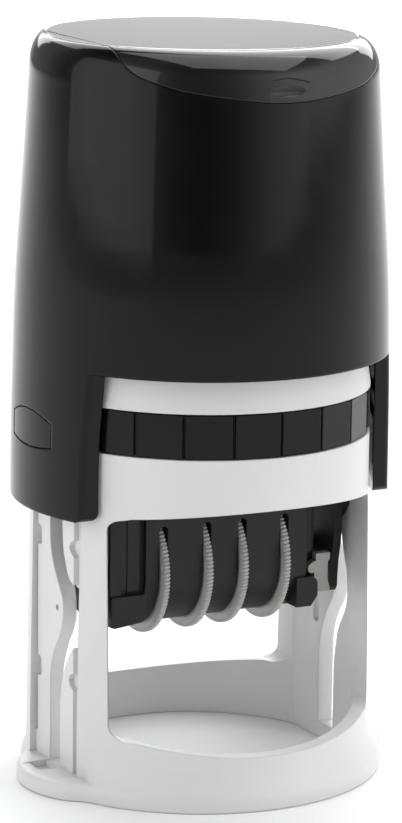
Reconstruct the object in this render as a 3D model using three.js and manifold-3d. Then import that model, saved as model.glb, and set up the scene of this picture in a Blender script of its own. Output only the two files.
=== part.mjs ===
// Round self-inking date stamp, drawn in millimetres.
// +Z is up, -Y is the front, the origin is the centre of the foot on the paper.
import * as THREE from 'three';
import { mergeVertices } from 'three/addons/utils/BufferGeometryUtils.js';
import Module from 'manifold-3d';

const wasm = await Module();
wasm.setup();

// ---------------------------------------------------------------- dimensions
const SEG = 60; // sides of the large round shells
const STROKE = 38; // travel of the cap
const PLATE_H = 10; // printing face above the rotor's pivot
const PAD_GAP = 5.3; // printing face to pad at rest, and to paper at full press
const PIVOT_Z = STROKE + PLATE_H + PAD_GAP; // 53.3
const PAD_Z = PIVOT_Z + PLATE_H + PAD_GAP; // 68.6
const PLATE_R = 24.5; // printing plate
const CAM_R = 5.5; // eccentric pin from the pivot

const R_FRAME = 31.3; // white body
const R_POST = 31.9; // white body just above the foot
const R_BORE = 29.1; // inside of the white body
const R_FOOT = 34.75;
const LUG_X = 37.1; // reach of the two side lugs
const FOOT_H = 3.2; // height of the lugs' rim
const X_CHORD = 27.1; // inner face of the two columns
const X_PANEL = 29.9; // recessed outer face of the columns
const WIN_X = 26.8; // half width of the front and rear windows
const FRAME_TOP = 84;
const SLOT_LO = 63.9; // opening for the pad cassette
const SLOT_HI = 72.2;
const SLOT_X = 27.9;

const CAP_EDGE = 78.5; // lower front edge of the cap
const ARM_BOTTOM = 51.4;
const ARM_W = 15.3; // half width of the arms at their lower end
const ARM_TOP_W = 16.5; // and at the cap's edge
const R_ARM_IN = 32.55; // inside of the arms
const CAP_TOP = 136.5;
const CAP_CEILING = 131.5;
const LENS_X = 25.5; // half width of the clear window on top

const LEG_IN = 25.3; // the carriage legs lie between these two
const LEG_OUT = 26.8;
const LEG_HALF = 10.6;
const BRIDGE_Z = 116;

const WHEEL_DROP = 14.5; // date wheels' axle below the pivot
const WHEEL_R = 12.7;
const WHEEL_X = [-12.8, -3.9, 3.4, 12.2];
const HUB_END = [-5.2, 2.2, 11.0, 18.4]; // each hub runs from its rim to here

// ---------------------------------------------------------------- helpers
const V2 = (x, y) => new THREE.Vector2(x, y);

function clean(geometry) {
  const g = geometry.clone();
  for (const name of Object.keys(g.attributes)) if (name !== 'position') g.deleteAttribute(name);
  const m = mergeVertices(g, 1e-4);
  const src = m.index.array;
  const keep = [];
  for (let i = 0; i < src.length; i += 3) {
    const [a, b, c] = [src[i], src[i + 1], src[i + 2]];
    if (a !== b && b !== c && c !== a) keep.push(a, b, c);
  }
  return { vertProperties: Float32Array.from(m.attributes.position.array), triVerts: Uint32Array.from(keep) };
}

function solid(geometry, matrix) {
  if (matrix) geometry = geometry.clone().applyMatrix4(matrix);
  const d = clean(geometry);
  let m = new wasm.Manifold(new wasm.Mesh({ numProp: 3, ...d }));
  if (m.volume() < 0) {
    for (let i = 0; i < d.triVerts.length; i += 3) {
      const t = d.triVerts[i + 1];
      d.triVerts[i + 1] = d.triVerts[i + 2];
      d.triVerts[i + 2] = t;
    }
    m = new wasm.Manifold(new wasm.Mesh({ numProp: 3, ...d }));
  }
  return m;
}

function geometryOf(manifold) {
  const m = manifold.simplify(0.012).getMesh();
  const g = new THREE.BufferGeometry();
  const n = m.numProp;
  const pos = new Float32Array((m.vertProperties.length / n) * 3);
  for (let i = 0, j = 0; i < m.vertProperties.length; i += n, j += 3) {
    pos[j] = m.vertProperties[i];
    pos[j + 1] = m.vertProperties[i + 1];
    pos[j + 2] = m.vertProperties[i + 2];
  }
  g.setAttribute('position', new THREE.BufferAttribute(pos, 3));
  g.setIndex(Array.from(m.triVerts));
  g.computeVertexNormals();
  return g;
}

const AXIS_Z = new THREE.Matrix4().makeRotationX(Math.PI / 2);
const ALONG_X = new THREE.Matrix4().makeBasis(new THREE.Vector3(0, 1, 0), new THREE.Vector3(0, 0, 1), new THREE.Vector3(1, 0, 0));
const ALONG_Y = new THREE.Matrix4().makeBasis(new THREE.Vector3(1, 0, 0), new THREE.Vector3(0, 0, 1), new THREE.Vector3(0, -1, 0));

// a revolved solid about Z; points are [radius, z] from the axis round to the axis, or a closed ring
function lathe(points, seg = SEG) {
  return solid(new THREE.LatheGeometry(points.map(([r, z]) => V2(r, z)), seg), AXIS_Z);
}
function box(x0, x1, y0, y1, z0, z1) {
  const g = new THREE.BoxGeometry(x1 - x0, y1 - y0, z1 - z0);
  g.translate((x0 + x1) / 2, (y0 + y1) / 2, (z0 + z1) / 2);
  return solid(g);
}
function cylZ(r, z0, z1, seg = 48, x = 0, y = 0) {
  const g = new THREE.CylinderGeometry(r, r, z1 - z0, seg);
  g.rotateX(Math.PI / 2);
  g.translate(x, y, (z0 + z1) / 2);
  return solid(g);
}
function cylX(r, x0, x1, y, z, seg = 32) {
  const g = new THREE.CylinderGeometry(r, r, x1 - x0, seg);
  g.rotateZ(Math.PI / 2);
  g.translate((x0 + x1) / 2, y, z);
  return solid(g);
}
// outline of [y, z] points, extruded along X
function prismX(points, x0, x1, holes = []) {
  const s = new THREE.Shape(points.map(([a, b]) => V2(a, b)));
  for (const h of holes) s.holes.push(new THREE.Path(h.map(([a, b]) => V2(a, b))));
  const g = new THREE.ExtrudeGeometry(s, { depth: x1 - x0, bevelEnabled: false });
  g.applyMatrix4(ALONG_X);
  g.translate(x0, 0, 0);
  return solid(g);
}
// outline of [x, z] points, extruded along Y
function prismY(points, y0, y1) {
  const g = new THREE.ExtrudeGeometry(new THREE.Shape(points.map(([a, b]) => V2(a, b))), { depth: y1 - y0, bevelEnabled: false });
  g.applyMatrix4(ALONG_Y);
  g.translate(0, y1, 0);
  return solid(g);
}
// outline of [x, y] points, extruded along Z
function prismZ(points, z0, z1) {
  const g = new THREE.ExtrudeGeometry(new THREE.Shape(points.map(([a, b]) => V2(a, b))), { depth: z1 - z0, bevelEnabled: false });
  g.translate(0, 0, z0);
  return solid(g);
}
const all = (...list) => list.reduce((a, b) => a.add(b));
const arc = (cx, cy, r, a0, a1, n) =>
  Array.from({ length: n + 1 }, (_, i) => {
    const a = ((a0 + ((a1 - a0) * i) / n) * Math.PI) / 180;
    return [cx + r * Math.cos(a), cy + r * Math.sin(a)];
  });

// ---------------------------------------------------------------- materials
const finish = (color, roughness, metalness = 0) => new THREE.MeshStandardMaterial({ color, roughness, metalness });
const glossBlack = () => finish(0x161719, 0.12);
const satinBlack = () => finish(0x1d1e20, 0.35);
const white = () => finish(0xd9dadb, 0.42);
const natural = () => finish(0xc9c8c4, 0.45);
const steel = () => finish(0x9fa3a8, 0.28, 1);
const rubber = () => finish(0x55504e, 0.8);
const bandRubber = () => finish(0x2b2b2d, 0.75);

const root = new THREE.Group();
function put(parent, name, manifold, material, x = 0, y = 0, z = 0) {
  const mesh = new THREE.Mesh(geometryOf(manifold), material);
  mesh.name = name;
  mesh.position.set(x, y, z);
  parent.add(mesh);
  return mesh;
}

// ---------------------------------------------------------------- white frame
// The eccentric pin runs down the slot; the slot bows forward half way down, where the pin turns the rotor over.
// Each slot is wider on the inside, where the pin runs, than in the thin outer lip.
const SLOT_REAR = [
  [1.7, 62.6], [1.7, 48.4], [1.1, 44.5], [-0.4, 41], [-2.1, 38.8], [-3.8, 36.9], [-4.25, 35], [-4.2, 31],
  [-3.0, 28.3], [-1.3, 25.8], [0.6, 21.5], [1.4, 18.5], [1.7, 15], [1.75, FOOT_H - 0.1],
];
const SLOT_FRONT = [
  [-4.3, FOOT_H - 0.1], [-4.3, 14], [-4.45, 17], [-4.95, 19.7], [-5.6, 22.4], [-7.2, 25.2], [-8.6, 27.4], [-9.5, 29.2], [-9.7, 31.5], [-9.3, 35.2],
  [-8.4, 37.6], [-6.7, 40], [-6.0, 43.4], [-5.2, 47.5], [-4.7, 49.5], [-4.3, 52.5], [-4.3, 62.6],
];
const LIP_REAR = [
  [1.15, 62.6], [1.15, 48.5], [1.0, 44.8], [0.35, 42.1], [-0.95, 39.6], [-2.7, 37.2], [-4.2, 35.1], [-4.65, 33.0], [-4.45, 31.0],
  [-3.2, 28.0], [-1.5, 25.6], [0.15, 22.4], [0.8, 19.3], [0.9, 14.6], [0.9, FOOT_H - 0.1],
];
const LIP_FRONT = [
  [-3.4, FOOT_H - 0.1], [-3.4, 14], [-3.6, 17], [-4.2, 19.7], [-5.2, 22], [-6.65, 24.5], [-8.3, 26.4], [-9.5, 27.4], [-10.55, 28.3], [-10.55, 37.9],
  [-9.4, 38.4], [-7.9, 38.9], [-6.5, 40], [-5.4, 42.1], [-4.55, 44.2], [-4.2, 46.9], [-4.05, 49.7], [-4.05, 62.6],
];

const FLARE = [
  [0, 0], [34.45, 0], [34.65, 0.4], [R_FOOT, 1.3], [34.6, 2.4], [33.9, 3.8], [33.2, 5], [32.65, 6.4], [32.2, 8], [31.98, 10], [R_POST, 12], [0, 12],
];
const frameOutside = () => {
  const body = lathe([[0, 0], [R_POST, 0], [R_POST, 12], [31.65, 30], [R_FRAME, 52], [R_FRAME, 72.6], [30.3, 79.5], [30.0, FRAME_TOP - 0.6], [29.6, FRAME_TOP], [0, FRAME_TOP]]);
  // the foot is flared at the front, and close to the body at the rear
  const flare = lathe(FLARE).intersect(box(-60, 60, -60, -14, -1, 13));
  const base = cylZ(R_FOOT, 0, FOOT_H, SEG).intersect(box(-60, 60, -60, 4, -1, 13)).add(cylZ(32.9, 0, FOOT_H, SEG));
  const lugs = [-1, 1].map((s) => cylZ(18, 0, FOOT_H, 64, s * (LUG_X - 18), -3.2));
  return all(body, flare, base, ...lugs);
};

function columnCuts(side) {
  // drawn for the -X column, mirrored for the other
  const cuts = all(
    box(-60, -X_PANEL, -10.6, 7.0, FOOT_H, 61.8),
    box(-60, -X_PANEL + 0.95, 6.3, 7.0, 7.5, 58), // groove along the rear post
    box(-60, -X_PANEL + 0.95, -10.65, -8.9, FOOT_H, 61.8), // groove along the front post
    box(-60, -X_PANEL + 0.95, 4.6, 7.0, 43.2, 46.6),
    box(-60, -X_PANEL + 0.95, 4.6, 7.0, 18.3, 21.7),
    box(-60, -X_PANEL + 0.95, -10.65, -7.0, 44.2, 46.8),
    box(-60, -X_PANEL + 0.95, -10.65, -7.0, 19.4, 21.8),
    cylX(0.55, -40, -X_PANEL + 0.95, -2.0, 32.9, 10),
    box(-34.2, -30.7, -4.3, 1.1, 2.0, FOOT_H + 1), // pocket in the lug
  );
  const slot = prismX([...SLOT_REAR, ...SLOT_FRONT], -X_PANEL + 0.92, -20).add(prismX([...LIP_REAR, ...LIP_FRONT], -40, -X_PANEL + 0.95));
  let m = all(cuts, slot);
  if (side > 0) m = m.mirror([1, 0, 0]);
  return m;
}

const WINDOW = [
  ...arc(-WIN_X + 2.2, 50.2, 2.2, 180, 95, 5),
  [-18, 53.35], [-9, 54.1], [0, 54.35], [9, 54.1], [18, 53.35],
  ...arc(WIN_X - 2.2, 50.2, 2.2, 85, 0, 5),
  ...arc(WIN_X - 3, 14.2, 3, 0, -80, 5),
  [16, 10.3], [8, 9.6], [0, 9.35], [-8, 9.6], [-16, 10.3],
  ...arc(-WIN_X + 3, 14.2, 3, -100, -180, 5),
];

function makeFrame() {
  const bore = cylZ(R_BORE, -1, FRAME_TOP + 1, SEG);
  const low = bore.intersect(box(-X_CHORD, X_CHORD, -40, 40, -1, 63.2));
  const high = bore.intersect(box(-60, 60, -40, 40, 63.1, FRAME_TOP + 1));
  let m = frameOutside().subtract(low).subtract(high);
  m = m.subtract(prismY(WINDOW, -60, 60));
  m = m.subtract(box(-SLOT_X, SLOT_X, -60, -12, SLOT_LO, SLOT_HI));
  m = m.subtract(columnCuts(-1)).subtract(columnCuts(1));
  // ledge for the deck, and the small shelf under the back of the cassette
  const ledge = cylZ(R_BORE + 0.6, 72.5, 73.2, SEG)
    .subtract(cylZ(27.9, 70, 75, SEG))
    .subtract(box(-60, 60, -11.7, 11.7, 70, 75));
  m = m.add(ledge).add(box(-8, 8, 26.4, 30, 68.6, 69.9));
  return m;
}
put(root, 'frame', makeFrame(), white());

// ---------------------------------------------------------------- deck inside the frame: top guide of the cassette, seat of the spring
const deck = cylZ(28.8, 73.5, 76, SEG)
  .subtract(box(24.9, 60, -11.2, 11.2, 70, 80))
  .subtract(box(-60, -24.9, -11.2, 11.2, 70, 80))
  .subtract(box(-4, 4, 12, 20, 70, 80))
  .subtract(box(-4, 4, -20, -12, 70, 80))
  .add(cylZ(6.6, 75.9, 78.6, 32))
  .subtract(cylZ(5, 70, 80, 32));
put(root, 'spring_deck', deck, white());

// ---------------------------------------------------------------- cap
const CAP_OUT = [
  [35.1, ARM_BOTTOM], [34.98, 70], [34.82, 77], [34.13, 89.2], [32.95, 107], [32.05, 125], [31.78, 130.4], [31.3, 133.4], [30.5, 135.0],
  [29.4, 135.9], [28.2, 136.25], [0, CAP_TOP],
];
// the same outline drawn in by d
const inset = (d, from) => {
  const pts = CAP_OUT.filter(([, z]) => z >= from).map(([r, z]) => {
    const top = Math.min(1, Math.max(0, (z - 131) / 5));
    return [Math.max(0, r - d * (1 - top * top * 0.35) - (r < 1 ? 9 : 0)), z - d * top];
  });
  pts[pts.length - 1][0] = 0;
  return [[0, from - 0.01], [pts[0][0], from - 0.01], ...pts];
};
const capOutside = lathe([[0, ARM_BOTTOM], ...CAP_OUT]);
const CAVITY = [
  [0, 40], [R_ARM_IN, 40], [R_ARM_IN, 78.5], [32.1, 81.5], [31.85, 98], [31.65, 110.8], [30.6, 119], [30.4, 122.4], [28.1, 126.0], [28.1, CAP_CEILING], [0, CAP_CEILING],
];
// clear window: the strip |x| < LENS_X over the top, coming down over the front and rear edges
const LENS = [
  [-LENS_X, 150], [-LENS_X, 136], [-25.35, 134.2], [-24.95, 132.6], [-23.6, 131.15], [-21.2, 130.0], [-18, 129.1], [-14, 128.2], [-9, 127.4], [-4, 127.0], [0, 126.9],
  [4, 127.0], [9, 127.4], [14, 128.2], [18, 129.1], [21.2, 130.0], [23.6, 131.15], [24.95, 132.6], [25.35, 134.2], [LENS_X, 136], [LENS_X, 150],
];
const LENS_CUT = LENS.map(([x, z], i) => [x * (1 + 0.3 / LENS_X), z - 0.3]);

const buttonShape = (g) => [
  [-7.8 - g, 64.0 - g], [-4.5, 63.5 - g], [0, 63.25 - g], [4.5, 63.5 - g], [7.8 + g, 64.0 - g],
  [7.8 + g, 68.1 + g], [4.5, 69.35 + g], [0, 69.95 + g], [-4.5, 69.35 + g], [-7.8 - g, 68.1 + g],
];

function makeCap() {
  let m = capOutside;
  // between the arms the cap ends at its lower edge
  const armless = (y0, y1) => box(-60, 60, y0, y1, 40, CAP_EDGE);
  const front = prismX([[-60, 40], [-ARM_W, 40], [-ARM_W, ARM_BOTTOM + 0.01], [-ARM_TOP_W, CAP_EDGE], [-60, CAP_EDGE]], -60, 60);
  m = m.subtract(front).subtract(front.mirror([0, 1, 0]));
  // round the arms' lower corners
  const k = ARM_W - 1.9;
  const corner = prismX([[-20, 50], [-k + 0.1, 50], [-k + 0.1, ARM_BOTTOM], ...arc(-k, ARM_BOTTOM + 1.9, 1.9, 270, 190, 4), [-20, ARM_BOTTOM + 2.2]], -60, 60);
  m = m.subtract(corner).subtract(corner.mirror([0, 1, 0]));
  m = m.subtract(lathe(CAVITY));
  // seat for the window and the card
  const seat = prismY(LENS_CUT, -60, 60).subtract(lathe(inset(2.6, 120)));
  m = m.subtract(seat);
  // holes for the lock buttons
  const hole = prismX(buttonShape(0.3), 25, 40);
  m = m.subtract(hole).subtract(hole.mirror([1, 0, 0]));
  // two posts that hold the carriage
  for (const y of [-18, 18]) m = m.add(cylZ(2.6, 118.8, CAP_CEILING + 0.2, 20, 0, y)).add(cylZ(1.5, 115.2, 119, 16, 0, y));
  return m;
}
const cap = new THREE.Group();
root.add(cap);
put(cap, 'cap_shell', makeCap(), glossBlack());

const lensSkin = capOutside.subtract(lathe(inset(1.5, 120)));
let lens = prismY(LENS, -60, 60).intersect(lensSkin).intersect(box(-60, 60, -60, 60, 126, 150));
// two small finger ridges on the front edge
for (const z of [129.0, 130.6]) {
  const ridge = box(-4.4, 4.4, -32.3, -31, z - 0.3, z + 0.3).intersect(lathe([[0, z - 0.31], [32.1, z - 0.31], [32.1, z + 0.31], [0, z + 0.31]]));
  lens = lens.add(ridge);
}
const lensMat = new THREE.MeshStandardMaterial({ color: 0x3a3d40, roughness: 0.05, metalness: 0, transparent: true, opacity: 0.55 });
put(cap, 'index_window', lens, lensMat);
const card = cylZ(25.8, 134.15, 134.5, 48).intersect(box(-23.6, 23.6, -60, 60, 130, 140));
put(cap, 'index_card', card, finish(0x26282b, 0.6));

// carriage: a yoke with two legs that carries the rotor
function makeCarriage() {
  const legShape = [...arc(0, PIVOT_Z, LEG_HALF, 180, 360, 20), [LEG_HALF, 84], [8.5, 92], [8.5, BRIDGE_Z + 2.5], [-8.5, BRIDGE_Z + 2.5], [-8.5, 92], [-LEG_HALF, 84]];
  const leg = prismX(legShape, LEG_IN, LEG_OUT).subtract(cylX(8.55, 20, 30, 0, PIVOT_Z, 40));
  let top = cylZ(27.6, BRIDGE_Z, BRIDGE_Z + 2.5, 56).intersect(box(-LEG_OUT, LEG_OUT, -40, 40, 100, 130)).subtract(cylZ(10, 100, 130, 36));
  for (const y of [-18, 18]) top = top.subtract(cylZ(1.85, 100, 130, 16, 0, y));
  top = top.subtract(box(11, 22, 10, 40, 100, 130)).subtract(box(-22, -11, 10, 40, 100, 130)).subtract(box(11, 22, -40, -10, 100, 130)).subtract(box(-22, -11, -40, -10, 100, 130));
  return all(leg, leg.mirror([1, 0, 0]), top);
}
put(cap, 'carriage', makeCarriage(), satinBlack());

// return spring between the deck and the cap's ceiling
class Helix extends THREE.Curve {
  constructor(r, z0, z1, turns) {
    super();
    Object.assign(this, { r, z0, z1, turns });
  }
  getPoint(t, target = new THREE.Vector3()) {
    const a = t * this.turns * Math.PI * 2;
    // close coils at the two ends
    const u = t < 0.09 ? t * 0.25 : t > 0.91 ? 1 - (1 - t) * 0.25 : 0.0225 + ((t - 0.09) / 0.82) * 0.955;
    return target.set(this.r * Math.cos(a), this.r * Math.sin(a), this.z0 + (this.z1 - this.z0) * u);
  }
}
const wire = new THREE.Shape(arc(0, 0, 0.55, 0, 300, 5).map(([a, b]) => V2(a, b)));
const springGeo = new THREE.ExtrudeGeometry(wire, { steps: 88, bevelEnabled: false, extrudePath: new Helix(8, 76.9, 130.6, 8) });
put(root, 'return_spring', solid(springGeo), steel());

// lock buttons in the arms, each with a leaf spring behind it
const rightButton = prismX(buttonShape(0), 33.9, 40).intersect(lathe([[0, 50], ...CAP_OUT.map(([r, z]) => [Math.max(0, r - 0.03), z])]));
put(cap, 'lock_button_right', rightButton, glossBlack());
put(cap, 'lock_button_left', rightButton.mirror([1, 0, 0]), glossBlack());
const leaf = prismZ([[32.65, -7.5], [32.93, -7.5], [33.05, -3], [33.05, 3], [32.93, 7.5], [32.65, 7.5], [32.77, 3], [32.77, -3]], 65.2, 67.4);
put(cap, 'lock_spring_right', leaf, steel());
put(cap, 'lock_spring_left', leaf.mirror([1, 0, 0]), steel());

// ---------------------------------------------------------------- pad cassette
function makeCassette() {
  const facet = [];
  for (let i = -5; i <= 5; i++) {
    const a = ((i * 16.4 - 90) * Math.PI) / 180;
    facet.push([31.25 * Math.cos(a), 31.25 * Math.sin(a)]);
  }
  const grip = prismZ([...facet, [0, 5]], SLOT_LO + 0.3, SLOT_HI - 0.3)
    .subtract(cylZ(28.4, 60, 80, SEG))
    .intersect(box(-27.6, 27.6, -40, -12.3, 60, 80));
  const tray = cylZ(28.7, PAD_Z + 1.7, 72.0, SEG).intersect(box(-24.9, 24.9, -40, 27.7, 60, 80));
  const rim = cylZ(24.85, PAD_Z + 0.3, PAD_Z + 1.8, SEG).subtract(cylZ(23.9, 60, 80, SEG));
  return all(grip, tray, rim);
}
put(root, 'pad_cassette', makeCassette(), satinBlack());
put(root, 'ink_pad', cylZ(23.6, PAD_Z, PAD_Z + 1.4, 64), finish(0x24233a, 0.95));

// ---------------------------------------------------------------- rotor, drawn about its pivot
const rotor = new THREE.Group();
rotor.position.set(0, 0, PIVOT_Z);
root.add(rotor);

const CHEEK = [
  ...arc(0, 0, 9.6, 0, 180, 14),
  [-9.9, -4], [-9.9, -10], [-9.6, -12.5], [-8.9, -15.8], [-8.6, -19], [-8.55, -20.8], [-8.0, -21.7], [-7.2, -21.8], [-6.0, -21.0], [-4.6, -19.6],
  [-3, -18.4], [0, -17.6], [4, -18.4], [7, -16.5], [9.4, -12], [9.6, -4],
];
function makeHousing() {
  let m = cylZ(24.3, 4.3, 7.6, SEG).subtract(box(-19.3, 19.3, -5, 5, 0, 20)).intersect(box(-24.9, 24.9, -40, 40, 0, 20));
  for (const s of [-1, 1]) {
    let cheek = prismX(CHEEK, 23.4, 25.0).add(prismX([[-9, 3], [9, 3], [12, 7.5], [-12, 7.5]], 21.5, 25.0).intersect(cylZ(24.9, -1, 20, SEG)));
    cheek = cheek.subtract(cylX(3.8, 20, 30, 0, 0, 24)).subtract(cylX(1.8, 20, 30, 0, -WHEEL_DROP, 20));
    cheek = cheek.intersect(box(-60, 60, -60, 60, -60, 7.6));
    if (s < 0) cheek = cheek.mirror([1, 0, 0]);
    m = m.add(cheek);
  }
  // two rails inside the plate that carry the ends of the anvil
  m = m.subtract(box(-22.35, 22.35, -1.6, 1.6, 0, 20));
  for (const s of [-1, 1]) m = m.add(box(s > 0 ? 19.2 : -22.6, s > 0 ? 22.6 : -19.2, -3.2, 3.2, 1.6, 4.4));
  return m;
}
put(rotor, 'rotor_housing', makeHousing(), satinBlack());

// cover over the date wheels: a U with four slots, drawn in at both ends
const uShape = (r, top) => [[r, top], [r, -WHEEL_DROP], ...arc(0, -WHEEL_DROP, r, -10, -170, 16), [-r, -WHEEL_DROP], [-r, top]];
function makeCover() {
  const cz = -WHEEL_DROP;
  let m = prismX(uShape(10.7, 4.0), -16.3, 17.2).subtract(prismX(uShape(9.5, 5), -15.5, 16.3));
  for (const x of WHEEL_X) m = m.subtract(box(x - 0.9, x + 1.0, -20, 20, cz - 20, cz + 9.1));
  m = all(m, prismX(uShape(8.5, 2.4), -23, 18.1), prismX(uShape(10.3, 2.4), -19.8, -17.2));
  // a block at the lower front of each end
  const right = prismY([[15.2, -23.5], [18.2, -23.5], [19.6, -21.6], [19.6, -18.9], [18.8, -17.9], [15.2, -17.9]], -10.6, -6.4);
  const left = prismY([[-22.9, -23.4], [-15.6, -23.1], [-15.6, -17.6], [-22.9, -17.6]], -10.6, -6.4);
  m = all(m, right, left);
  // inside, open at the top; an end wall round the axle at the left
  m = m.subtract(prismX(uShape(9.5, 5), -15.5, 16.3)).subtract(prismX(uShape(7.4, 5), -22, 30));
  return m.subtract(box(-30, 30, -7.4, 7.4, -4, 10)).subtract(cylX(1.85, -30, 30, 0, cz, 20));
}
put(rotor, 'wheel_cover', makeCover(), satinBlack());

put(rotor, 'wheel_axle', cylX(1.5, -24.8, 24.8, 0, -WHEEL_DROP, 24), steel());

// printing plate: a rubber disc with a window for the date
const plate = lathe([[0, 7.9], [PLATE_R, 7.9], [PLATE_R, PLATE_H - 0.4], [PLATE_R - 0.5, PLATE_H], [0, PLATE_H]])
  .subtract(box(-18.9, 18.9, -3.2, 3.2, 0, 20))
  .subtract(lathe([[22.3, PLATE_H - 0.7], [23.3, PLATE_H - 0.7], [23.3, PLATE_H + 1], [22.3, PLATE_H + 1], [22.3, PLATE_H - 0.7]]));
put(rotor, 'text_plate', plate, rubber());

// anvil that backs the date bands under the printing face
const anvil = prismX([[-1.2, 4.8], [1.2, 4.8], [1.2, 7.0], [0.6, 8.1], [-0.6, 8.1], [-1.2, 7.0]], -18.4, 18.4).add(box(-22, 22, -1.2, 1.2, 4.8, 7.0));
put(rotor, 'date_anvil', anvil, natural());

// endless rubber bands from each hub up over the anvil
function bandOutline(g) {
  const cz = -WHEEL_DROP;
  return [...arc(0, cz, 6.4 + g, -180, 0, 14), [2.75 + g, 8.6 + g], [2.0 + g, 9.6 + g], [-2.0 - g, 9.6 + g], [-2.75 - g, 8.6 + g]];
}
for (let i = 0; i < 4; i++) {
  const x0 = WHEEL_X[i] + 1.1;
  const x1 = HUB_END[i] - 0.2;
  put(rotor, `date_band_${i + 1}`, prismX(bandOutline(0), x0, x1, [bandOutline(-1.05).reverse()]), bandRubber());
}

// click leaf that rests over the wheels
put(rotor, 'click_leaf', prismX([[-9.2, -1.2], [-5.6, -1.2], [-5.6, -0.8], [-9.2, -0.8]], -15.2, 16.0), steel());

// hooked clip at the right end of the axle: a front tab with a hook, and an arm round the axle
const tab = prismY(
  [[19.95, -21.5], [19.95, -17.5], [18.75, -17.4], [18.4, -16.9], [18.6, -16.1], [19.5, -15.5], [19.95, -15.5], [19.95, -14.1], [23.1, -14.1], [23.1, -15.5], [22.6, -15.8], [22.6, -19.2], [23.1, -20.2], [23.1, -21.5]],
  -9.0, -7.4,
);
const hook = tab.add(prismX([[-7.5, -17.2], [-7.5, -13.2], [0, -11.4], [2.2, -12.3], [3.1, -14.5], [2.2, -16.7], [0, -17.6]], 20.9, 22.3)).subtract(cylX(1.85, 10, 30, 0, -WHEEL_DROP, 20));
put(rotor, 'axle_clip', hook.decompose ? hook.decompose()[0] : hook, natural());

// trunnions: a disc that turns in the leg, with the eccentric pin that follows the slot
const trunnion = all(cylX(8.2, LEG_IN, LEG_OUT - 0.05, 0, 0, 40), cylX(3.5, 22.95, LEG_IN + 0.2, 0, 0, 20), cylX(0.8, LEG_OUT - 0.3, X_PANEL - 1.25, 0, CAM_R, 14));
put(rotor, 'trunnion_right', trunnion, natural());
put(rotor, 'trunnion_left', trunnion.mirror([1, 0, 0]), natural());

// date wheels: thin serrated rims with a hub that drives the band
for (let i = 0; i < 4; i++) {
  const rim = [];
  const teeth = 40;
  for (let k = 0; k < teeth; k++) {
    const a = (k * 2 * Math.PI) / teeth;
    const b = ((k + 0.5) * 2 * Math.PI) / teeth;
    rim.push([WHEEL_R * Math.cos(a), WHEEL_R * Math.sin(a)], [(WHEEL_R - 0.45) * Math.cos(b), (WHEEL_R - 0.45) * Math.sin(b)]);
  }
  const wheel = all(prismX(rim, -0.55, 0.55), cylX(5.0, 0.45, HUB_END[i] - WHEEL_X[i], 0, 0, 24)).subtract(cylX(1.85, -10, 20, 0, 0, 20));
  put(rotor, `date_wheel_${i + 1}`, wheel, finish(0xe4e3df, 0.4), WHEEL_X[i], 0, -WHEEL_DROP);
}

export default root;
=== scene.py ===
"""Round self-inking date stamp: detailed visible pieces, materials, floor, light and camera.

The pieces are worked out in millimetres in the frame's own axes (+Z up, -Y the
front, origin at the centre of the foot) and scaled to metres when they are done.
"""
import math

import bpy
import numpy as np
from mathutils import Matrix, Vector


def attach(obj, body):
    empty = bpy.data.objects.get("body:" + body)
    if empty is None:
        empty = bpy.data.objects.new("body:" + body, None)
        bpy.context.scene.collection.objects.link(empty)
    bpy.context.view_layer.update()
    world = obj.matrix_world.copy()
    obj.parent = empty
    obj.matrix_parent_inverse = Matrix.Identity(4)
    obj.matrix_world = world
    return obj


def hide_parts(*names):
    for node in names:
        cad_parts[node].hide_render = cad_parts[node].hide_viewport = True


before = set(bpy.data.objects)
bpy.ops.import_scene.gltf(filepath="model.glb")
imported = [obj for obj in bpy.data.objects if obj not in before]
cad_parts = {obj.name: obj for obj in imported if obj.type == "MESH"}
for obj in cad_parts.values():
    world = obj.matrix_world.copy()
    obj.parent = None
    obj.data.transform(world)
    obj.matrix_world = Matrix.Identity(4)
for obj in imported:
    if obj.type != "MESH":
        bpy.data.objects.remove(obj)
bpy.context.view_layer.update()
scene = bpy.context.scene
TAU = 2 * math.pi

# ------------------------------------------------------------------ dimensions, mm
PIVOT_Z = 53.3
R_FRAME = 31.3
R_POST = 31.9
R_BORE = 29.1
R_FOOT = 34.7
R_REAR = 32.9
LUG_X = 37.05
FOOT_H = 3.2
X_CHORD = 27.1
X_PANEL = 29.9
WIN_X = 26.8
FRAME_TOP = 84.0
SLOT_LO, SLOT_HI, SLOT_X = 63.9, 72.2, 27.9
CAP_EDGE = 78.5
ARM_BOTTOM = 51.4
R_ARM_IN = 32.1
CAP_CEILING = 131.5
LENS_X = 25.3
WHEEL_Z = PIVOT_Z - 14.5
WHEEL_R = 12.7
WHEEL_X = (-12.8, -3.9, 3.4, 12.2)
HUB_END = (-5.2, 2.2, 11.0, 18.4)


# ------------------------------------------------------------------ mesh tools
def smoothstep(x, a, b):
    t = min(1.0, max(0.0, (x - a) / (b - a)))
    return t * t * (3 - 2 * t)


def hermite(points, zs):
    """Smooth monotone curve through (z, value) points, read at each z."""
    z = np.array([p[0] for p in points], float)
    v = np.array([p[1] for p in points], float)
    h = np.diff(z)
    d = np.diff(v) / h
    m = np.zeros(len(z))
    m[0], m[-1] = d[0], d[-1]
    for i in range(1, len(z) - 1):
        m[i] = 0 if d[i - 1] * d[i] <= 0 else 2 * d[i - 1] * d[i] / (d[i - 1] + d[i])
    out = []
    for q in np.atleast_1d(zs):
        i = int(np.clip(np.searchsorted(z, q) - 1, 0, len(h) - 1))
        t = (q - z[i]) / h[i]
        out.append(
            (1 + 2 * t) * (1 - t) ** 2 * v[i] + t * (1 - t) ** 2 * h[i] * m[i]
            + t * t * (3 - 2 * t) * v[i + 1] + t * t * (t - 1) * h[i] * m[i + 1]
        )
    return out


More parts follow.
